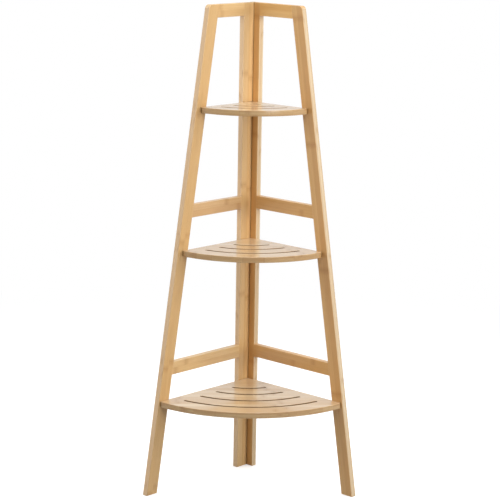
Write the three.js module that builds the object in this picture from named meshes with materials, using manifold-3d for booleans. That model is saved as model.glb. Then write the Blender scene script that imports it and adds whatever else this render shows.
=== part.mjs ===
// Three-tier corner plant stand in laminated bamboo.
//
// Two leaning side frames stand at right angles to each other and share a back corner. Each frame
// is a post, a leg and three rails, dowelled and glued. The right post laps over the back edge of
// the left post and is screwed to it. Three quarter-round slotted shelves sit in the corner and
// are screwed through the legs and the left post.
//
// Units are millimetres, +Z is up. The stand faces -Y, with its back corner towards +Y, and its
// origin is on the floor in the middle of the footprint.

import * as THREE from 'three';
import { mergeVertices } from 'three/addons/utils/BufferGeometryUtils.js';
import Module from 'manifold-3d';

const wasm = await Module();
wasm.setup();

// ---------------------------------------------------------------- driving dimensions

const HEIGHT = 1180;
const BOARD_THICKNESS = 15;
const POST_WIDTH = 34;
const LEG_WIDTH = 33;
const RAIL_WIDTH = 32;

// Distance from the inside corner of the posts to the front edge of a leg.
const REACH_AT_TOP = 155;
const REACH_AT_FLOOR = 353;

const TOP_CORNER_RADIUS = 11; // rounded front corner at the head of each frame
const ARRIS = 1.2; // radius of the eased long edges of the frames
const GLUE_GAP = 0.3; // free space between two pieces that bear on each other

// Top faces of the shelves above the floor, and how far each shelf's rounded tips stop short of
// the front edge of the legs.
const BOTTOM_SHELF_LEVEL = 231;
const BOTTOM_SHELF_SETBACK = 2;
const MIDDLE_SHELF_LEVEL = 594.5;
const MIDDLE_SHELF_SETBACK = 12;
const TOP_SHELF_LEVEL = 937.5;
const TOP_SHELF_SETBACK = 12;

const SHELF_THICKNESS = 14;
const SHELF_EDGE = 1; // radius of the shelves' eased edges
const SHELF_TIP_RADIUS = 7;
const SHELF_BACK_RADIUS = 3;

// Slots follow a shelf's front edge behind a plain band, one pitch apart, and end one margin away
// from its straight sides. They are cut back towards the corner for as long as they keep a useful
// length.
const SLOT_WIDTH = 8;
const SHORTEST_SLOT = 20;
const BOTTOM_SLOT_BAND = 48;
const BOTTOM_SLOT_PITCH = 55;
const BOTTOM_SLOT_MARGIN = 33;
const MIDDLE_SLOT_BAND = 46;
const MIDDLE_SLOT_PITCH = 48;
const MIDDLE_SLOT_MARGIN = 31;
const TOP_SLOT_BAND = 41;
const TOP_SLOT_PITCH = 41;
const TOP_SLOT_MARGIN = 27;

// The two lower rails stand this far above the shelf that they keep pots on.
const LOW_RAIL_RISE = 59;
const MID_RAIL_RISE = 76.5;

const DOWEL_DIAMETER = 8;
const DOWEL_LENGTH = 30;
const DOWEL_SPACING = 16;
const DOWEL_CHAMFER = 1;

const SCREW_DIAMETER = 5;
const SCREW_LENGTH = 40;
const SCREW_HEAD_DIAMETER = 9;
const SCREW_HEAD_HEIGHT = 2.2;
const SCREW_POINT = 4;
const SOCKET_ACROSS_FLATS = 3;
const SOCKET_DEPTH = 1.8;

// Smoothness of the round forms.
const ARRIS_STEPS = 2;
const ROUND_SIDES = 12;
const FILLET_STEPS = 5;
const FRONT_ARC_STEPS = 32;
const SLOT_ARC_STEP = 16; // longest straight piece of a slot's side

// ---------------------------------------------------------------- values that follow

const BOTTOM_SHELF = {
  name: 'bottom_shelf',
  level: BOTTOM_SHELF_LEVEL,
  setback: BOTTOM_SHELF_SETBACK,
  band: BOTTOM_SLOT_BAND,
  pitch: BOTTOM_SLOT_PITCH,
  margin: BOTTOM_SLOT_MARGIN,
};
const MIDDLE_SHELF = {
  name: 'middle_shelf',
  level: MIDDLE_SHELF_LEVEL,
  setback: MIDDLE_SHELF_SETBACK,
  band: MIDDLE_SLOT_BAND,
  pitch: MIDDLE_SLOT_PITCH,
  margin: MIDDLE_SLOT_MARGIN,
};
const TOP_SHELF = {
  name: 'top_shelf',
  level: TOP_SHELF_LEVEL,
  setback: TOP_SHELF_SETBACK,
  band: TOP_SLOT_BAND,
  pitch: TOP_SLOT_PITCH,
  margin: TOP_SLOT_MARGIN,
};
const SHELVES = [BOTTOM_SHELF, MIDDLE_SHELF, TOP_SHELF];

const RAILS = [
  { name: 'low_rail', base: BOTTOM_SHELF.level + LOW_RAIL_RISE },
  { name: 'mid_rail', base: MIDDLE_SHELF.level + MID_RAIL_RISE },
  { name: 'top_rail', base: HEIGHT - RAIL_WIDTH },
];
const [LOW_RAIL, MID_RAIL, TOP_RAIL] = RAILS;
const railTop = (rail) => rail.base + RAIL_WIDTH;

const LEAN = Math.atan2(REACH_AT_FLOOR - REACH_AT_TOP, HEIGHT);
const LEG_SPAN = LEG_WIDTH / Math.cos(LEAN); // level width of the leaning leg
const legFront = (z) => REACH_AT_FLOOR - z * Math.tan(LEAN);
const legRear = (z) => legFront(z) - LEG_SPAN;

const QUARTER_TURN = Math.PI / 2;

// ---------------------------------------------------------------- materials

const FINISH = {
  frame: { color: 0xd7ab74, roughness: 0.42, metalness: 0 },
  shelf: { color: 0xdfb988, roughness: 0.3, metalness: 0 },
  dowel: { color: 0xcda76f, roughness: 0.7, metalness: 0 },
  screw: { color: 0xb9bab8, roughness: 0.35, metalness: 1 },
};

// ---------------------------------------------------------------- solids and meshes

function solidFrom(geometry) {
  const bare = geometry.clone();
  bare.deleteAttribute('normal');
  bare.deleteAttribute('uv');
  const merged = mergeVertices(bare, 1e-4);
  return new wasm.Manifold(new wasm.Mesh({
    numProp: 3,
    vertProperties: Float32Array.from(merged.attributes.position.array),
    triVerts: Uint32Array.from(merged.index.array),
  }));
}

function geometryFrom(solid) {
  const { vertProperties, triVerts } = solid.getMesh();
  const geometry = new THREE.BufferGeometry();
  geometry.setAttribute('position', new THREE.BufferAttribute(vertProperties, 3));
  geometry.setIndex(new THREE.BufferAttribute(triVerts, 1));
  geometry.computeVertexNormals();
  return geometry;
}

function addMesh(parent, name, geometry, finish) {
  const mesh = new THREE.Mesh(geometry, new THREE.MeshStandardMaterial(finish));
  mesh.name = name;
  parent.add(mesh);
  return mesh;
}

// Extrudes an outline upwards from z = 0, with its edges rounded over where an arris is given.
function extrude(outline, thickness, arris = 0) {
  const geometry = new THREE.ExtrudeGeometry(outline, {
    depth: thickness - 2 * arris,
    bevelEnabled: arris > 0,
    bevelThickness: arris,
    bevelSize: arris,
    bevelOffset: -arris,
    bevelSegments: ARRIS_STEPS,
  });
  return geometry.translate(0, 0, arris);
}

function arc(x, y, radius, from, to, steps) {
  return Array.from({ length: steps + 1 }, (_, i) => {
    const angle = from + ((to - from) * i) / steps;
    return new THREE.Vector2(x + radius * Math.cos(angle), y + radius * Math.sin(angle));
  });
}

const points = (...pairs) => pairs.map(([x, y]) => new THREE.Vector2(x, y));

// ---------------------------------------------------------------- the two frames' planes

// The wall-aligned space has the right frame along +X and the left frame along -Y, with the
// inside corner of the posts on the Z axis. In a frame's own space X runs from the corner towards
// the leg, Y is up and the inner face is at z = 0. Its outer face lies at z = outward * thickness.
const stand = new THREE.Group();

function makeFrame(side, along, outward, postBack) {
  const group = new THREE.Group();
  const up = new THREE.Vector3(0, 0, 1);
  const depth = new THREE.Vector3().crossVectors(along, up);
  group.applyMatrix4(new THREE.Matrix4().makeBasis(along, up, depth));
  stand.add(group);
  return { side, group, outward, postBack, postFront: postBack + POST_WIDTH };
}

const leftFrame = makeFrame('left', new THREE.Vector3(0, -1, 0), 1, GLUE_GAP);
const rightFrame = makeFrame('right', new THREE.Vector3(1, 0, 0), -1, -BOARD_THICKNESS);
const FRAMES = [leftFrame, rightFrame];
stand.updateMatrixWorld(true);

// ---------------------------------------------------------------- dowels and screws

const fasteners = [];

function addFastener(name, frame, geometry, boreGeometry, finish, position, rotation) {
  const mesh = addMesh(frame.group, name, geometry, finish);
  mesh.position.set(...position);
  mesh.rotation.set(...rotation);
  mesh.updateMatrixWorld(true);
  fasteners.push({ mesh, boreGeometry });
}

// A dowel is centred on its origin along Y, with chamfered ends. Its hole is drilled plain.
function dowelGeometry() {
  const radius = DOWEL_DIAMETER / 2;
  const half = DOWEL_LENGTH / 2;
  return new THREE.LatheGeometry(points(
    [0, -half],
    [radius - DOWEL_CHAMFER, -half],
    [radius, -half + DOWEL_CHAMFER],
    [radius, half - DOWEL_CHAMFER],
    [radius - DOWEL_CHAMFER, half],
    [0, half],
  ), ROUND_SIDES);
}

function dowelBoreGeometry() {
  const radius = DOWEL_DIAMETER / 2 + GLUE_GAP;
  return new THREE.CylinderGeometry(radius, radius, DOWEL_LENGTH + 2 * GLUE_GAP, ROUND_SIDES);
}

// A screw's head lies at y = 0 and its point at y = -SCREW_LENGTH. Its bore runs on above the
// head, out through the face of the board.
function screwGeometry(clearance) {
  const shank = SCREW_DIAMETER / 2 + clearance;
  const head = SCREW_HEAD_DIAMETER / 2 + clearance;
  const mouth = clearance > 0 ? points([head, 2 * clearance], [0, 2 * clearance]) : points([0, 0]);
  return new THREE.LatheGeometry([
    ...points(
      [0, -SCREW_LENGTH - clearance],
      [shank, -SCREW_LENGTH + SCREW_POINT],
      [shank, -SCREW_HEAD_HEIGHT],
      [head, 0],
    ),
    ...mouth,
  ], ROUND_SIDES);
}

function socketedScrew() {
  const acrossCorners = SOCKET_ACROSS_FLATS / Math.cos(Math.PI / 6);
  const socket = new THREE.CylinderGeometry(acrossCorners / 2, acrossCorners / 2, 2 * SOCKET_DEPTH, 6);
  return geometryFrom(solidFrom(screwGeometry(0)).subtract(solidFrom(socket)));
}

const DOWEL = dowelGeometry();
const DOWEL_BORE = dowelBoreGeometry();
const SCREW = socketedScrew();
const SCREW_BORE = screwGeometry(GLUE_GAP);

function addDowel(name, frame, reach, height) {
  const position = [reach, height, (frame.outward * BOARD_THICKNESS) / 2];
  addFastener(name, frame, DOWEL, DOWEL_BORE, FINISH.dowel, position, [0, 0, QUARTER_TURN]);
}

// Screws are driven from the outer face of a frame, with the head sunk just below it.
function addScrew(name, frame, reach, height) {
  const position = [reach, height, frame.outward * (BOARD_THICKNESS - GLUE_GAP)];
  const rotation = [frame.outward * QUARTER_TURN, 0, 0];
  addFastener(name, frame, SCREW, SCREW_BORE, FINISH.screw, position, rotation);
}

// Two dowels, one above the other, hold each end of each rail.
for (const frame of FRAMES) {
  for (const rail of RAILS) {
    for (const [level, offset] of [['lower', -DOWEL_SPACING / 2], ['upper', DOWEL_SPACING / 2]]) {
      const height = rail.base + RAIL_WIDTH / 2 + offset;
      addDowel(`${frame.side}_${rail.name}_post_dowel_${level}`, frame, frame.postFront, height);
      addDowel(`${frame.side}_${rail.name}_leg_dowel_${level}`, frame, legRear(height), height);
    }
  }
}

// Each shelf hangs on one screw through each leg and one through the left post.
const shelfRadius = (shelf) => legFront(shelf.level) - shelf.setback;

for (const shelf of SHELVES) {
  const height = shelf.level - SHELF_THICKNESS / 2;
  const legScrew = (legRear(height) + shelfRadius(shelf)) / 2;
  for (const frame of FRAMES) {
    addScrew(`${frame.side}_leg_screw_${shelf.name}`, frame, legScrew, height);
  }
  addScrew(`left_post_screw_${shelf.name}`, leftFrame, leftFrame.postBack + POST_WIDTH / 2, height);
}

// The right post is screwed to the back edge of the left post, midway between the shelves and
// rails, where the left post holds no other fastener.
const POST_JOINT_HEIGHTS = [
  [0, BOTTOM_SHELF.level],
  [railTop(LOW_RAIL), MIDDLE_SHELF.level],
  [railTop(MID_RAIL), TOP_SHELF.level],
  [TOP_SHELF.level, TOP_RAIL.base],
].map(([below, above]) => (below + above) / 2);

POST_JOINT_HEIGHTS.forEach((height, i) => {
  addScrew(`post_joint_screw_${i + 1}`, rightFrame, -BOARD_THICKNESS / 2, height);
});

// All bores together, moved into the space of the given group.
function boresIn(group) {
  const toGroup = group.matrixWorld.clone().invert();
  return fasteners
    .map(({ mesh, boreGeometry }) => {
      const placement = new THREE.Matrix4().multiplyMatrices(toGroup, mesh.matrixWorld);
      return solidFrom(boreGeometry.clone().applyMatrix4(placement));
    })
    .reduce((all, bore) => all.add(bore));
}

// ---------------------------------------------------------------- posts, legs and rails

// A frame is glued up square, then its edges are eased as one piece, so the rounding runs on
// round every corner but leaves the butt joints tight. The blank is that eased frame. Its
// windows stop half a glue gap outside the post and the leg, so each saw cut below is clean.
function frameBlank(frame) {
  const post = frame.postFront + GLUE_GAP / 2;
  const leg = (z) => legRear(z) - GLUE_GAP / 2;
  const cornerHeight = HEIGHT - TOP_CORNER_RADIUS;
  const cornerReach = legFront(cornerHeight) - TOP_CORNER_RADIUS / Math.cos(LEAN);
  const outline = new THREE.Shape([
    ...points(
      [frame.postBack, 0],
      [post, 0],
      [post, LOW_RAIL.base],
      [leg(LOW_RAIL.base), LOW_RAIL.base],
      [leg(0), 0],
      [legFront(0), 0],
    ),
    ...arc(cornerReach, cornerHeight, TOP_CORNER_RADIUS, LEAN, QUARTER_TURN, FILLET_STEPS),
    ...points([frame.postBack, HEIGHT]),
  ]);
  const windows = [
    [railTop(LOW_RAIL), MID_RAIL.base],
    [railTop(MID_RAIL), TOP_RAIL.base],
  ];
  for (const [sill, head] of windows) {
    const corners = points([post, sill], [leg(sill), sill], [leg(head), head], [post, head]);
    outline.holes.push(new THREE.Path(corners));
  }
  const geometry = extrude(outline, BOARD_THICKNESS, ARRIS);
  return solidFrom(geometry.translate(0, 0, Math.min(0, frame.outward * BOARD_THICKNESS)));
}

// A block through the full thickness of the frame, which keeps the part of the blank inside it.
function sawnRegion(corners) {
  const block = extrude(new THREE.Shape(points(...corners)), 4 * BOARD_THICKNESS);
  return solidFrom(block.translate(0, 0, -2 * BOARD_THICKNESS));
}

for (const frame of FRAMES) {
  const blank = frameBlank(frame).subtract(boresIn(frame.group));
  const below = -BOARD_THICKNESS;
  const above = HEIGHT + BOARD_THICKNESS;
  const behind = frame.postBack - BOARD_THICKNESS;
  const ahead = REACH_AT_FLOOR + BOARD_THICKNESS + LEG_SPAN;
  const regions = {
    post: [[behind, below], [frame.postFront, below], [frame.postFront, above], [behind, above]],
    leg: [[legRear(below), below], [ahead, below], [ahead, above], [legRear(above), above]],
  };
  for (const rail of RAILS) {
    const bottom = rail.base - RAIL_WIDTH / 2;
    const top = railTop(rail) + RAIL_WIDTH / 2;
    const start = frame.postFront + GLUE_GAP;
    regions[rail.name] = [
      [start, bottom],
      [legRear(bottom) - GLUE_GAP, bottom],
      [legRear(top) - GLUE_GAP, top],
      [start, top],
    ];
  }
  for (const [board, corners] of Object.entries(regions)) {
    const solid = blank.intersect(sawnRegion(corners));
    addMesh(frame.group, `${frame.side}_${board}`, geometryFrom(solid), FINISH.frame);
  }
}

// ---------------------------------------------------------------- shelves

// Seen from above, the shelf's straight sides run along +X and -Y from the back corner, a glue
// gap inside the frames, and its front is an arc about that corner with rounded tips.
function shelfOutline(radius) {
  const side = GLUE_GAP;
  const tip = side + SHELF_TIP_RADIUS;
  const tipReach = Math.sqrt((radius - SHELF_TIP_RADIUS) ** 2 - tip ** 2);
  const tipAngle = Math.atan2(tip, tipReach);
  const back = side + SHELF_BACK_RADIUS;
  return new THREE.Shape([
    ...arc(back, -back, SHELF_BACK_RADIUS, 2 * QUARTER_TURN, QUARTER_TURN, FILLET_STEPS),
    ...arc(tipReach, -tip, SHELF_TIP_RADIUS, QUARTER_TURN, -tipAngle, FILLET_STEPS),
    ...arc(0, 0, radius, -tipAngle, tipAngle - QUARTER_TURN, FRONT_ARC_STEPS).slice(1, -1),
    ...arc(tip, -tipReach, SHELF_TIP_RADIUS, tipAngle - QUARTER_TURN, -2 * QUARTER_TURN, FILLET_STEPS),
  ]);
}

// Angle between a straight side and the centre of the round end of a slot.
const slotInset = (radius, margin) => Math.asin((margin + SLOT_WIDTH / 2) / radius);
const slotLength = (radius, margin) => radius * (QUARTER_TURN - 2 * slotInset(radius, margin));

// A slot bent about the back corner. Each round end starts and stops where the arcs beside it do.
function slotOutline(radius, margin) {
  const half = SLOT_WIDTH / 2;
  const start = slotInset(radius, margin);
  const end = QUARTER_TURN - start;
  const steps = Math.max(FILLET_STEPS, Math.ceil(slotLength(radius, margin) / SLOT_ARC_STEP));
  const roundEnd = (angle, from) =>
    arc(radius * Math.cos(angle), radius * Math.sin(angle), half, from, from + Math.PI, FILLET_STEPS);
  return new THREE.Shape([
    ...arc(0, 0, radius + half, -end, -start, steps).slice(1, -1),
    ...roundEnd(-start, -start),
    ...arc(0, 0, radius - half, -start, -end, steps).slice(1, -1),
    ...roundEnd(-end, Math.PI - end),
  ]);
}

for (const shelf of SHELVES) {
  const { level, band, pitch, margin } = shelf;
  const group = new THREE.Group();
  group.position.z = level - SHELF_THICKNESS;
  stand.add(group);
  group.updateMatrixWorld(true);
  const radius = shelfRadius(shelf);
  let solid = solidFrom(extrude(shelfOutline(radius), SHELF_THICKNESS, SHELF_EDGE));
  for (let reach = radius - band; slotLength(reach, margin) > SHORTEST_SLOT; reach -= pitch) {
    const slot = extrude(slotOutline(reach, margin), 3 * SHELF_THICKNESS);
    solid = solid.subtract(solidFrom(slot.translate(0, 0, -SHELF_THICKNESS)));
  }
  solid = solid.subtract(boresIn(group));
  addMesh(group, shelf.name, geometryFrom(solid), FINISH.shelf);
}

// ---------------------------------------------------------------- placing the stand

// An eighth of a turn brings the open front to -Y. The footprint is then centred on the origin.
stand.rotation.z = -QUARTER_TURN / 2;
const middle = new THREE.Box3().setFromObject(stand, true).getCenter(new THREE.Vector3());
stand.position.set(-middle.x, -middle.y, 0);

export default stand;
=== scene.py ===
# Looks of the three-tier bamboo corner plant stand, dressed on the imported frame.
#
# Lengths are metres in the row frame: +Z is up, the stand faces -Y and its back corner is
# towards +Y. The wood patterns work in millimetres of each board's own space, with X along
# the grain, Y across the strips and Z through the laminations.

import math

import bpy
from mathutils import Matrix, Vector


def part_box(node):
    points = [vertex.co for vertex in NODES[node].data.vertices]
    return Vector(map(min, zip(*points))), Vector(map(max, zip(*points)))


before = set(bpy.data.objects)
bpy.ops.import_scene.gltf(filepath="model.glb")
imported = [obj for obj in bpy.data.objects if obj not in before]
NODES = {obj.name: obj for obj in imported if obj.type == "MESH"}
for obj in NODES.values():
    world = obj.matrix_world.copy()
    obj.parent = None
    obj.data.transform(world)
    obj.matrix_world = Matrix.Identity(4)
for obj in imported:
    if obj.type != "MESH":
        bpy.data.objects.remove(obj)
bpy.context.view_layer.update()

MM = 0.001

# ------------------------------------------------------------------ sizes of the part

CORNER_Y = 0.145929  # inside corner of the posts, on the Y axis
HEIGHT = 1.180
REACH_AT_TOP = 0.155  # from the posts' corner to a leg's front edge
REACH_AT_FLOOR = 0.353
LEAN = math.atan2(REACH_AT_FLOOR - REACH_AT_TOP, HEIGHT)
SHELF_RADII = {"bottom_shelf": 0.3122, "middle_shelf": 0.2412, "top_shelf": 0.1837}

HALF = math.sqrt(0.5)
UP = Vector((0, 0, 1))
ALONG = {"left": Vector((-HALF, -HALF, 0)), "right": Vector((HALF, -HALF, 0))}
OUTWARD = {"left": Vector((-HALF, HALF, 0)), "right": Vector((HALF, HALF, 0))}
CORNER = Vector((0, CORNER_Y, 0))


# ------------------------------------------------------------------ a small node-tree writer


class Tree:
    """Adds nodes to a node tree. Values and links go in by socket name or number."""

    def __init__(self, tree):
        self.tree = tree

    def node(self, kind, inputs=None, **settings):
        made = self.tree.nodes.new(kind)
        for name, value in settings.items():
            setattr(made, name, value)
        for name, value in (inputs or {}).items():
            self.put(made.inputs[name], value)
        return made

    def put(self, socket, value):
        if isinstance(value, bpy.types.NodeSocket):
            self.tree.links.new(value, socket)
        else:
            socket.default_value = value

    def math(self, operation, *values, clamp=False):
        inputs = dict(enumerate(values))
        made = self.node("ShaderNodeMath", inputs, operation=operation, use_clamp=clamp)
        return made.outputs[0]

    def vector(self, operation, *values):
        """A vector, or a number where the operation gives one."""
        made = self.node("ShaderNodeVectorMath", dict(enumerate(values)), operation=operation)
        return made.outputs["Value" if operation in ("DOT_PRODUCT", "LENGTH") else "Vector"]

    def scaled(self, vector, share):
        inputs = {0: vector, "Scale": share}
        return self.node("ShaderNodeVectorMath", inputs, operation="SCALE").outputs[0]

    def split(self, vector):
        return self.node("ShaderNodeSeparateXYZ", {"Vector": vector}).outputs

    def join(self, x, y, z):
        return self.node("ShaderNodeCombineXYZ", {"X": x, "Y": y, "Z": z}).outputs[0]

    def ramp(self, value, low, high, to_low=0.0, to_high=1.0, smooth=True):
        """value eased from the range low..high to the range to_low..to_high."""
        made = self.node(
            "ShaderNodeMapRange",
            {
                "Value": value,
                "From Min": low,
                "From Max": high,
                "To Min": to_low,
                "To Max": to_high,
            },
            interpolation_type="SMOOTHSTEP" if smooth else "LINEAR",
        )
        return made.outputs["Result"]

    def fall(self, value, low, high):
        """1 up to low, and eased down from there to 0 at high."""
        return self.ramp(value, low, high, 1.0, 0.0)

    def blend(self, share, first, second):
        inputs = {"Factor": share, 6: first, 7: second}
        return self.node("ShaderNodeMix", inputs, data_type="RGBA", blend_type="MIX").outputs[2]

    def noise(self, vector, scale=1.0, detail=2.0, roughness=0.5):
        inputs = {"Vector": vector, "Scale": scale, "Detail": detail, "Roughness": roughness}
        return self.node("ShaderNodeTexNoise", inputs).outputs["Fac"]

    def random(self, x, y, z):
        """A random value, and three more as a colour, the same wherever x, y and z are."""
        made = self.node("ShaderNodeTexWhiteNoise", {"Vector": self.join(x, y, z)})
        return made.outputs["Value"], made.outputs["Color"]

    def coordinates(self, kind):
        return self.node("ShaderNodeTexCoord").outputs[kind]

    def bump(self, strength, distance, height):
        inputs = {"Strength": strength, "Distance": distance, "Height": height}
        return self.node("ShaderNodeBump", inputs).outputs[0]

    def surface(self, shader):
        self.node("ShaderNodeOutputMaterial", {"Surface": shader.outputs[0]})


def new_material(name):
    """A material whose node tree is still empty, and the writer for that tree."""
    material = bpy.data.materials.new(name)
    material.use_nodes = True
    material.node_tree.nodes.clear()
    return material, Tree(material.node_tree)


def rgb(red, green, blue):
    """A colour as the screen shows it, from 0 to 255, turned to the renderer's linear values."""

    def linear(value):
        value /= 255
        return value / 12.92 if value <= 0.04045 else ((value + 0.055) / 1.055) ** 2.4

    return (linear(red), linear(green), linear(blue), 1.0)


WHITE = (1.0, 1.0, 1.0, 1.0)

# ------------------------------------------------------------------ laminated bamboo

PALE_BAMBOO = rgb(226, 189, 138)
MID_BAMBOO = rgb(213, 170, 116)
WARM_BAMBOO = rgb(203, 156, 101)
FIBRE = rgb(160, 112, 62)
NODE_BAND = rgb(176, 124, 70)
GLUE_LINE = rgb(150, 104, 58)

# Sizes of the pattern in millimetres. The pairs are where something begins and ends to fade.
CANE_LENGTH = 4000.0  # each strip comes from somewhere else along such a length of cane
GLUE_FADE = (0.05, 0.22)
NODE_WAVER = 5.0  # how much a node winds along the grain as it crosses a strip
NODE_LINE_PLACE = 1.2  # a node's fine line lies this far past the middle of its band
NODE_LINE_FADE = (0.4, 1.8)
NODE_BAND_FADE = (1.5, 13.0)


def bamboo_group():
    """The pattern of glued bamboo strips: colour, roughness and height from board coordinates."""
    group = bpy.data.node_groups.new("laminated_bamboo", "ShaderNodeTree")
    face = group.interface
    face.new_socket("Board", in_out="INPUT", socket_type="NodeSocketVector")
    for name, value in (
        ("Strip Width", 17.0),
        ("Strip Start", 0.0),
        ("Layer", 5.2),
        ("Node Spacing", 265.0),
        ("Node Start", 0.0),
        ("Node Scatter", 0.25),
        ("Seed", 0.0),
    ):
        socket = face.new_socket(name, in_out="INPUT", socket_type="NodeSocketFloat")
        socket.default_value = value
    face.new_socket("Color", in_out="OUTPUT", socket_type="NodeSocketColor")
    face.new_socket("Roughness", in_out="OUTPUT", socket_type="NodeSocketFloat")
    face.new_socket("Height", in_out="OUTPUT", socket_type="NodeSocketFloat")

    t = Tree(group)
    given = t.node("NodeGroupInput").outputs
    board = t.split(given["Board"])
    along, across, through = board["X"], board["Y"], board["Z"]

    # Which strip and which layer a point is in, and how near it is to their glue lines.
    strips = t.math("SUBTRACT", across, given["Strip Start"])
    strips = t.math("DIVIDE", strips, given["Strip Width"])
    layers = t.math("DIVIDE", through, given["Layer"])
    strip, layer = t.math("FLOOR", strips), t.math("FLOOR", layers)

    def glue_line(cells, size):
        share = t.math("FRACT", cells)
        nearest = t.math("MINIMUM", share, t.math("SUBTRACT", 1.0, share))
        return t.fall(t.math("MULTIPLY", nearest, size), *GLUE_FADE)

    glue = t.math(
        "MAXIMUM", glue_line(strips, given["Strip Width"]), glue_line(layers, given["Layer"])
    )
    chance, chances = t.random(strip, layer, given["Seed"])
    picks = t.node("ShaderNodeSeparateColor", {"Color": chances}).outputs
    shift = t.math("MULTIPLY", chance, CANE_LENGTH)

    # Every strip has its own stretch of cane, so its fibres and clouds start somewhere else.
    def stretched(lengthwise, crosswise):
        return t.join(
            t.math("MULTIPLY", t.math("ADD", along, shift), lengthwise),
            t.math("MULTIPLY", across, crosswise),
            t.math("ADD", t.math("MULTIPLY", through, crosswise), given["Seed"]),
        )

    fibres = t.noise(stretched(0.012, 1.1), detail=4.0, roughness=0.62)
    vessels = t.noise(stretched(0.03, 2.6))
    streaks = t.noise(stretched(0.0035, 0.22), detail=3.0, roughness=0.55)
    clouds = t.noise(stretched(0.006, 0.03))
    waver = t.noise(stretched(0.02, 0.16))

    # Nodes of the cane cross a strip at even steps, staggered from strip to strip.
    stagger = t.math("MULTIPLY", t.math("SUBTRACT", picks[0], 0.5), given["Node Scatter"])
    stagger = t.math("MULTIPLY", stagger, given["Node Spacing"])
    start = t.math("ADD", given["Node Start"], stagger)
    steps = t.math("DIVIDE", t.math("SUBTRACT", along, start), given["Node Spacing"])
    from_node = t.math("SUBTRACT", t.math("FRACT", t.math("ADD", steps, 0.5)), 0.5)
    from_node = t.math("MULTIPLY", from_node, given["Node Spacing"])
    winding = t.math("MULTIPLY", t.math("SUBTRACT", waver, 0.5), NODE_WAVER)
    from_node = t.math("ADD", from_node, winding)
    from_line = t.math("ABSOLUTE", t.math("SUBTRACT", from_node, NODE_LINE_PLACE))
    node_line = t.fall(from_line, *NODE_LINE_FADE)
    node_band = t.fall(t.math("ABSOLUTE", from_node), *NODE_BAND_FADE)

    # Each strip's own tone, and what lies over it: the values of a pattern between which it
    # comes in, how strong it gets, and its colour.
    tone = t.blend(t.ramp(picks[1], 0.0, 1.0), MID_BAMBOO, PALE_BAMBOO)
    for pattern, low, high, most, colour in (
        (picks[2], 0.55, 1.00, 0.55, WARM_BAMBOO),
        (clouds, 0.35, 0.70, 0.35, WARM_BAMBOO),
        (streaks, 0.42, 0.72, 0.38, WARM_BAMBOO),
        (fibres, 0.52, 0.74, 0.40, FIBRE),
        (vessels, 0.60, 0.72, 0.30, FIBRE),
    ):
        tone = t.blend(t.ramp(pattern, low, high, 0.0, most), tone, colour)
    for pattern, most, colour in (
        (node_band, 0.34, NODE_BAND),
        (node_line, 0.14, FIBRE),
        (glue, 0.25, GLUE_LINE),
    ):
        tone = t.blend(t.math("MULTIPLY", pattern, most), tone, colour)

    rough = t.ramp(fibres, 0.3, 0.75, 0.30, 0.44, smooth=False)
    rough = t.math("ADD", rough, t.math("MULTIPLY", node_line, 0.06))

    # Fibres, glue lines and node lines lie a little lower, and the bands round nodes higher.
    height = t.math("MULTIPLY", t.ramp(fibres, 0.4, 0.8), -0.5)
    for pattern, most in ((glue, -0.7), (node_line, -0.5), (node_band, 0.3)):
        height = t.math("ADD", height, t.math("MULTIPLY", pattern, most))

    t.node("NodeGroupOutput", {"Color": tone, "Roughness": rough, "Height": height})
    return group


BAMBOO = bamboo_group()

# Factors on the pattern's red, green and blue: on a board's wide faces and on its edges. Like the
# other tones below they go with the lamps, and stand in for light that those don't give: they are
# painted light and shade, with a paler painted sheen on the frames' edges and painted shade on the
# shelves' edges.
TONES = {
    "left": ((1.057, 1.143, 1.18), (1.25, 1.43, 1.85)),
    "right": ((1.107, 1.084, 0.95), (1.02, 1.24, 1.67)),
    "shelf": ((1.045, 1.215, 1.57), (0.745, 0.745, 0.71)),
}
# Further factors on the faces of boards that are paler or browner than the rest of their frame.
OWN_TONES = {
    "right_leg": (0.94, 0.90, 0.88),
    "left_top_rail": (1.06, 1.09, 1.12),
    "right_top_rail": (1.11, 1.10, 1.02),
    "left_mid_rail": (0.94, 0.90, 0.92),
}
# The share of its normal by which a surface counts as turned away from a direction, and the
# share by which it counts as facing it.
FACING = (0.35, 0.8)

# A shelf's slot walls keep this share of its edge tone: painted shade in the narrow slots. They
# are told from its other edges by how far they lie inside its radius, and how far from the frames.
SLOT_SHADE_SHARE = 0.44
SLOT_INSIDE = (12 * MM, 10 * MM)
SLOT_CLEAR = (3 * MM, 5 * MM)
# A shelf's front edge keeps this share of its tone right beside a leg: painted shade where the tip
# meets the leg.
TIP_SHADE_SHARE = 0.4
TIP_FADE = (1 * MM, 6 * MM)

# On the posts' inner faces, in millimetres from the corner: a darker line in the corner itself,
# partly a dark joint and partly painted shade in the crevice, and a paler strip of painted light
# beside it that lifts the shade the other post casts there. The last pair is the depth of the
# inner face.
CORNER_LINE = 0.72
CORNER_LINE_FADE = (0.8, 3.2)
CORNER_LIT_STRIPS = {"left_post": (1.32, 1.42, 1.55), "right_post": (1.08, 1.08, 1.06)}
CORNER_LIT_STRIP_FADE = (2.5, 19.0)
INNER_FACE_FADE = (1.0, 2.0)

# Where along its grain each board has a node, apart from the strips' stagger, and how far
# apart its nodes are, in millimetres.
BOARD_NODES = {
    "left_post": (976.0, 276.8),
    "right_post": (830.0, 290.0),
    "left_leg": (322.0, 310.0),
    "right_leg": (271.0, 305.0),
    "left_low_rail": (230.0, 270.0),
    "left_mid_rail": (60.0, 280.0),
    "left_top_rail": (106.0, 300.0),
    "right_low_rail": (182.0, 300.0),
    "right_mid_rail": (200.0, 290.0),
    "right_top_rail": (20.0, 300.0),
    "bottom_shelf": (160.0, 250.0),
    "middle_shelf": (230.0, 260.0),
    "top_shelf": (330.0, 240.0),
}

BUMP_STRENGTH = 0.35
BUMP_DEPTH = 0.12 * MM
LACQUER_IOR = 1.5


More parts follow.
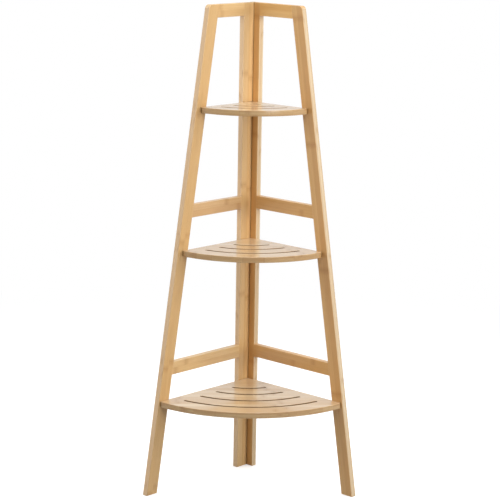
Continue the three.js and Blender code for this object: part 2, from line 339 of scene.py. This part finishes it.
def board_space(t, origin, grain, across):
    """Board coordinates in millimetres of a point of the piece."""
    turn = Matrix((grain, across, grain.cross(across)))
    moved = t.node(
        "ShaderNodeMapping",
        {
            "Vector": t.coordinates("Object"),
            "Location": (turn @ -origin) / MM,
            "Rotation": turn.to_euler("XYZ"),
            "Scale": (1 / MM, 1 / MM, 1 / MM),
        },
        vector_type="POINT",
    )
    return moved.outputs[0]


def turned_away(t, part):
    """1 where this part of the normal is small, and 0 where it is most of the normal."""
    return t.fall(t.math("ABSOLUTE", part), *FACING)


def toned(t, colour, through, tones, shelf_radius):
    """Tones wide faces and edges apart as painted light and shade, and paints shade on a shelf's
    slot walls and on its tips beside the legs.
    """
    face_tone, edge_tone = tones
    normal = t.coordinates("Normal")
    edge = turned_away(t, t.vector("DOT_PRODUCT", normal, through))
    if not shelf_radius:  # level edges get the full light from above and keep the faces' tone
        edge = t.math("MULTIPLY", edge, turned_away(t, t.split(normal)["Z"]))
    tone = t.blend(edge, (*face_tone, 1.0), (*edge_tone, 1.0))
    # Painted shade on the shelf's slot walls and on its tips right beside the legs.
    if shelf_radius:
        offset = t.vector("SUBTRACT", t.coordinates("Object"), CORNER)
        reach = t.vector("LENGTH", t.vector("MULTIPLY", offset, (1, 1, 0)))
        inside = t.fall(reach, *(shelf_radius - depth for depth in SLOT_INSIDE))
        shaded_wall = t.math("MULTIPLY", inside, edge)
        rim = t.math("SUBTRACT", edge, inside, clamp=True)
        share = 1.0
        for along in ALONG.values():
            gap = t.vector("DOT_PRODUCT", offset, along)
            shaded_wall = t.math("MULTIPLY", shaded_wall, t.ramp(gap, *SLOT_CLEAR))
            tip_shade = t.ramp(gap, *TIP_FADE, 1.0 - TIP_SHADE_SHARE, 0.0)
            share = t.math("SUBTRACT", share, t.math("MULTIPLY", rim, tip_shade))
        share = t.math("SUBTRACT", share, t.math("MULTIPLY", shaded_wall, 1.0 - SLOT_SHADE_SHARE))
        tone = t.scaled(tone, share)
    return t.vector("MULTIPLY", colour, tone)


def paint_corner_light(t, colour, place, lit_strip_tone):
    """Paints light on a post's inner face beside the corner where the posts meet, and a darker
    corner line that is partly a dark joint and partly painted shade.
    """
    board = t.split(place)
    tone = t.blend(t.fall(board["Y"], *CORNER_LIT_STRIP_FADE), WHITE, (*lit_strip_tone, 1.0))
    tone = t.scaled(tone, t.ramp(board["Y"], *CORNER_LINE_FADE, CORNER_LINE, 1.0))
    inner_face = t.fall(t.math("ABSOLUTE", board["Z"]), *INNER_FACE_FADE)
    return t.vector("MULTIPLY", colour, t.blend(inner_face, WHITE, tone))


def lacquered_bamboo(
    board, origin, grain, across, coat=0.6, coat_roughness=0.14, shelf_radius=None, **pattern
):
    """A board's finish: its own piece of the bamboo pattern under clear satin lacquer."""
    material, t = new_material(f"{board}_bamboo")
    wood = t.node("ShaderNodeGroup", node_tree=BAMBOO)
    place = board_space(t, origin, grain, across)
    t.put(wood.inputs["Board"], place)
    pattern["Node_Start"], pattern["Node_Spacing"] = BOARD_NODES[board]
    for key, value in pattern.items():
        wood.inputs[key.replace("_", " ").title()].default_value = value

    face_tone, edge_tone = TONES["shelf" if shelf_radius else board.split("_")[0]]
    own = OWN_TONES.get(board, (1.0, 1.0, 1.0))
    tones = (tuple(a * b for a, b in zip(face_tone, own)), edge_tone)
    # Painted light and shade on faces and edges, and painted shade on slot walls and shelf tips.
    colour = toned(t, wood.outputs["Color"], grain.cross(across), tones, shelf_radius)
    # Painted light in a strip beside the posts' corner, and a darker corner line, partly joint and
    # partly painted shade.
    if board in CORNER_LIT_STRIPS:
        colour = paint_corner_light(t, colour, place, CORNER_LIT_STRIPS[board])

    shader = t.node(
        "ShaderNodeBsdfPrincipled",
        {
            "Base Color": colour,
            "Roughness": wood.outputs["Roughness"],
            "Normal": t.bump(BUMP_STRENGTH, BUMP_DEPTH, wood.outputs["Height"]),
            "IOR": LACQUER_IOR,
            "Coat Weight": coat,
            "Coat Roughness": coat_roughness,
            "Coat IOR": LACQUER_IOR,
        },
    )
    t.surface(shader)
    return material


# ------------------------------------------------------------------ shading of the facets

WELD_DISTANCE = 0.002 * MM
SHARP_ANGLE = math.radians(50)
EASED_ANGLE = math.radians(60)
EASED_WIDTH = 0.5 * MM


def facet_group():
    """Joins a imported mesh's loose facets, and marks only its real corners as sharp."""
    group = bpy.data.node_groups.new("soft_facets", "GeometryNodeTree")
    group.interface.new_socket("Geometry", in_out="INPUT", socket_type="NodeSocketGeometry")
    group.interface.new_socket("Geometry", in_out="OUTPUT", socket_type="NodeSocketGeometry")
    t = Tree(group)
    given = t.node("NodeGroupInput").outputs["Geometry"]
    joined = t.node("GeometryNodeMergeByDistance", {"Geometry": given, "Distance": WELD_DISTANCE})
    angle = t.node("GeometryNodeInputMeshEdgeAngle").outputs["Unsigned Angle"]
    corner = t.node("FunctionNodeCompare", {0: angle, 1: SHARP_ANGLE}, operation="GREATER_THAN")
    freed = t.node(
        "GeometryNodeSetMeshNormal",
        {
            "Mesh": joined.outputs[0],
            "Remove Custom": True,
            "Edge Sharpness": corner.outputs[0],
            "Face Sharpness": False,
        },
        mode="SHARPNESS",
    )
    t.node("NodeGroupOutput", {"Geometry": freed.outputs[0]})
    return group


FACETS = facet_group()


def soften(piece):
    """Smooths a piece's shading between its real corners, and eases the steep edges of shelves."""
    nodes = piece.modifiers.new("soft_facets", "NODES")
    nodes.node_group = FACETS
    if piece.name.endswith("_shelf"):  # also the screws that are named after the shelf they hold
        ease = piece.modifiers.new("eased_slots", "BEVEL")
        ease.limit_method = "ANGLE"
        ease.angle_limit = EASED_ANGLE
        ease.width, ease.segments = EASED_WIDTH, 2
    weighted = piece.modifiers.new("flat_faces", "WEIGHTED_NORMAL")
    weighted.keep_sharp = True


def dress(node, material):
    """Gives a CAD node its finish, and rounds off how its fine facets catch the light."""
    piece = NODES[node]
    piece.data.materials.clear()
    piece.data.materials.append(material)
    soften(piece)


# ------------------------------------------------------------------ the boards

# Patterns begin this far off a board's inner face or underside, so no glue line lies in it.
FRAME_SKIN = 0.25 * MM
SHELF_SKIN = 0.2 * MM
SHELF_GRAIN_START = 0.4  # X from which a shelf's grain is measured
FRAME_SEEDS = {"left": 11.0, "right": 37.0}
SHELF_SEED = 71.0


def dress_board(board, origin, grain, across, **finish):
    dress(board, lacquered_bamboo(board, origin, grain, across, **finish))


for side, seed in FRAME_SEEDS.items():
    out = ALONG[side]
    lean_up = (UP * math.cos(LEAN) - out * math.sin(LEAN)).normalized()
    leg_across = (out * math.cos(LEAN) + UP * math.sin(LEAN)).normalized()
    skin = OUTWARD[side] * FRAME_SKIN
    foot = CORNER + out * REACH_AT_FLOOR - skin
    dress_board(f"{side}_post", CORNER - skin, UP, out, Seed=seed, Strip_Width=17.5)
    dress_board(f"{side}_leg", foot, lean_up, leg_across, Seed=seed + 1)
    for i, level in enumerate(("low", "mid", "top")):
        rail = f"{side}_{level}_rail"
        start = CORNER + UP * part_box(rail)[0].z - skin
        dress_board(rail, start, out, UP, Seed=seed + 2 + i)

for i, (shelf, shelf_radius) in enumerate(SHELF_RADII.items()):
    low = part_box(shelf)[0].z
    dress_board(
        shelf,
        Vector((SHELF_GRAIN_START, CORNER_Y, low - SHELF_SKIN)),
        Vector((1, 0, 0)),
        Vector((0, 1, 0)),
        coat=1.0,
        coat_roughness=0.1,
        shelf_radius=shelf_radius,
        Seed=SHELF_SEED + i,
        Strip_Width=20.0,
        Layer=4.8,
    )

# ------------------------------------------------------------------ dowels and screws


def fastener_finish(name, tones, relief, pale, dark, roughness, bump, metallic=0.0):
    """Two tones of a pattern, the roughness that goes with them, and a relief."""
    material, t = new_material(name)
    place = t.coordinates("Object")
    tones, relief = tones(t, place), relief(t, place)
    shader = t.node(
        "ShaderNodeBsdfPrincipled",
        {
            "Base Color": t.blend(t.ramp(tones, 0.35, 0.7), rgb(*pale), rgb(*dark)),
            "Roughness": t.ramp(tones, 0.3, 0.7, *roughness, smooth=False),
            "Metallic": metallic,
            "Normal": t.bump(*bump, relief),
        },
    )
    t.surface(shader)
    return material


def level_grain(t, place):
    """Fine straight grain that runs level, as the dowels lie."""
    fine = t.node("ShaderNodeMapping", {"Vector": place, "Scale": (900, 900, 2600)}).outputs[0]
    return t.noise(fine, detail=3.0, roughness=0.6)


def bloom(t, place):
    return t.noise(place, 900.0, detail=3.0)


def scratches(t, place):
    fine = t.node("ShaderNodeMapping", {"Vector": place, "Scale": (6000, 6000, 900)}).outputs[0]
    return t.noise(fine)


# Plain turned hardwood.
DOWEL_FINISH = fastener_finish(
    "dowel_wood",
    tones=level_grain,
    relief=level_grain,
    pale=(208, 172, 122),
    dark=(181, 140, 92),
    roughness=(0.55, 0.72),
    bump=(0.4, 0.1 * MM),
)
# Zinc-plated steel with a faint cloudy bloom and fine scratches.
STEEL_FINISH = fastener_finish(
    "screw_steel",
    tones=bloom,
    relief=scratches,
    pale=(196, 197, 196),
    dark=(170, 172, 173),
    roughness=(0.26, 0.42),
    bump=(0.15, 0.03 * MM),
    metallic=1.0,
)
for name in NODES:
    if "_dowel_" in name:
        dress(name, DOWEL_FINISH)
    elif "screw" in name:
        dress(name, STEEL_FINISH)

# ------------------------------------------------------------------ camera

FOCAL_PIXELS = 1842.177
PICTURE_PIXELS = 500
SENSOR_MM = 36.0
CAMERA_PLACE = Vector((-0.16183, -4.37642, 1.49573))
CAMERA_YAW, CAMERA_PITCH, CAMERA_ROLL = -2.04814, -11.65434, -0.96391  # degrees


def add_camera():
    data = bpy.data.cameras.new("camera")
    data.sensor_width = SENSOR_MM
    data.sensor_fit = "HORIZONTAL"
    data.lens = FOCAL_PIXELS * SENSOR_MM / PICTURE_PIXELS
    data.clip_start, data.clip_end = 0.05, 200.0
    camera = bpy.data.objects.new("camera", data)
    aim = (
        Matrix.Rotation(math.radians(CAMERA_YAW), 3, "Z")
        @ Matrix.Rotation(math.radians(CAMERA_PITCH), 3, "X")
        @ Matrix.Rotation(math.radians(CAMERA_ROLL), 3, "Y")
    )
    right, ahead, above = aim.col[0], aim.col[1], aim.col[2]
    turn = Matrix((right, above, -ahead)).transposed().to_4x4()
    camera.matrix_world = Matrix.Translation(CAMERA_PLACE) @ turn
    bpy.context.scene.collection.objects.link(camera)
    bpy.context.scene.camera = camera


add_camera()

# ------------------------------------------------------------------ floor and surroundings

FLOOR_RADIUS = 2.2
FLOOR_CLEAR = 0.8  # radius inside which the floor is plain; further out it fades to white
FLOOR_SIDES = 96
FLOOR_GAP = 0.5 * MM  # below the feet

FLOOR_TONE = 0.72
FLOOR_GLOW = 0.50  # added to the floor for the camera, so that it stays white past its shadow
FLOOR_SHINE = 0.10  # the same for the reflections in the lacquer and steel
FLOOR_BOUNCE = 0.40  # tone of the floor for the light that it throws back on the stand

# The surroundings are a white backdrop behind the stand and a dimmer room in front of it.
BACK_SHINE, FRONT_SHINE = 0.74, 0.60  # as the lacquer and steel reflect them
BACK_LIGHT, FRONT_LIGHT = 0.97, 0.0  # as they light the stand
FRONT_TO_BACK = (-0.2, 0.5)  # Y of the directions between which the room becomes the backdrop


def ray_mix(t, camera_value, shine_value, other_value):
    """A value for camera rays, one for glossy and transmission rays, and one for the others."""
    rays = t.node("ShaderNodeLightPath").outputs
    shine = t.math("MAXIMUM", rays["Is Glossy Ray"], rays["Is Transmission Ray"])
    more = t.math("SUBTRACT", shine_value, other_value)
    indirect = t.math("ADD", other_value, t.math("MULTIPLY", shine, more))
    direct = t.math("MULTIPLY", rays["Is Camera Ray"], t.math("SUBTRACT", camera_value, indirect))
    return t.math("ADD", indirect, direct)


def surroundings(t, towards):
    """How bright the surroundings are towards a direction, pure white for the camera."""
    ahead = t.split(t.vector("NORMALIZE", towards))["Y"]
    shine = t.ramp(ahead, *FRONT_TO_BACK, FRONT_SHINE, BACK_SHINE)
    light = t.ramp(ahead, *FRONT_TO_BACK, FRONT_LIGHT, BACK_LIGHT)
    return ray_mix(t, 1.0, shine, light)


def floor_finish():
    """Plain matt white round the feet, which fades to the surroundings' own brightness."""
    material, t = new_material("floor_white")
    tone = ray_mix(t, FLOOR_TONE, FLOOR_BOUNCE, FLOOR_BOUNCE)
    matt = t.node("ShaderNodeBsdfDiffuse", {"Color": t.join(tone, tone, tone)})
    glow = t.node("ShaderNodeEmission", {"Strength": ray_mix(t, FLOOR_GLOW, FLOOR_SHINE, 0.0)})
    plain = t.node("ShaderNodeAddShader", {0: matt.outputs[0], 1: glow.outputs[0]})
    place = t.coordinates("Object")
    white = t.node("ShaderNodeEmission", {"Strength": surroundings(t, place)})
    fade = t.ramp(t.vector("LENGTH", place), FLOOR_CLEAR, FLOOR_RADIUS)
    inputs = {0: fade, 1: plain.outputs[0], 2: white.outputs[0]}
    t.surface(t.node("ShaderNodeMixShader", inputs))
    return material


def floor_disc():
    """A flat round floor just under the feet."""
    turns = [2 * math.pi * i / FLOOR_SIDES for i in range(FLOOR_SIDES)]
    mesh = bpy.data.meshes.new("floor")
    rim = [(FLOOR_RADIUS * math.cos(a), FLOOR_RADIUS * math.sin(a), -FLOOR_GAP) for a in turns]
    mesh.from_pydata(rim, [], [tuple(range(FLOOR_SIDES))])
    mesh.materials.append(floor_finish())
    disc = bpy.data.objects.new("floor", mesh)
    bpy.context.scene.collection.objects.link(disc)


def studio_world():
    """The surroundings as the scene's world."""
    world = bpy.data.worlds.new("studio")
    bpy.context.scene.world = world
    world.use_nodes = True
    world.node_tree.nodes.clear()
    t = Tree(world.node_tree)
    strength = surroundings(t, t.coordinates("Generated"))
    sky = t.node("ShaderNodeBackground", {"Color": WHITE, "Strength": strength})
    t.node("ShaderNodeOutputWorld", {"Surface": sky.outputs[0]})


floor_disc()
studio_world()

# ------------------------------------------------------------------ lamps

# Name, place, the point it is aimed at, width, height, and power in watts.
LAMPS = (
    ("right_box", (2.299, -0.08, 1.35), (0, 0, 1.35), 0.8, 2.1, 7.0),
    ("right_front_box", (2.133, -0.862, 1.35), (0, 0, 1.35), 0.8, 2.1, 30.3),
    ("front_box", (1.15, -1.992, 1.6), (0, 0, 1.6), 0.8, 1.8, 20.8),
    ("left_box", (-2.299, -0.08, 1.35), (0, 0, 1.35), 0.8, 2.1, 8.4),
    ("left_front_box", (-2.133, -0.862, 1.35), (0, 0, 1.35), 0.8, 2.1, 13.9),
    ("right_high_box", (1.559, -0.9, 2.9), (0, 0, 0.8), 1.2, 1.2, 2.3),
    ("front_top_box", (0.0, -1.7, 3.0), (0, 0, 0.8), 1.4, 1.4, 28.4),
    ("top_box", (0.0, 0.0, 2.9), (0, 0.001, 0), 2.0, 2.0, 24.2),
)
SIDE_LAMPS = 2.0  # lamps this far out to a side, in metres, light the stand but aren't mirrored


def softbox(name, place, target, width, height, power):
    data = bpy.data.lights.new(name, "AREA")
    data.shape = "RECTANGLE"
    data.size, data.size_y = width, height
    data.energy = power
    lamp = bpy.data.objects.new(name, data)
    lamp.location = place
    lamp.rotation_euler = (Vector(target) - Vector(place)).to_track_quat("-Z", "Y").to_euler()
    lamp.visible_camera = False
    # Shelf tops seen from a side would mirror the box on the other side as plain white glare.
    lamp.visible_glossy = abs(place[0]) < SIDE_LAMPS
    bpy.context.scene.collection.objects.link(lamp)


for lamp in LAMPS:
    softbox(*lamp)

bpy.context.scene.view_settings.view_transform = "Standard"
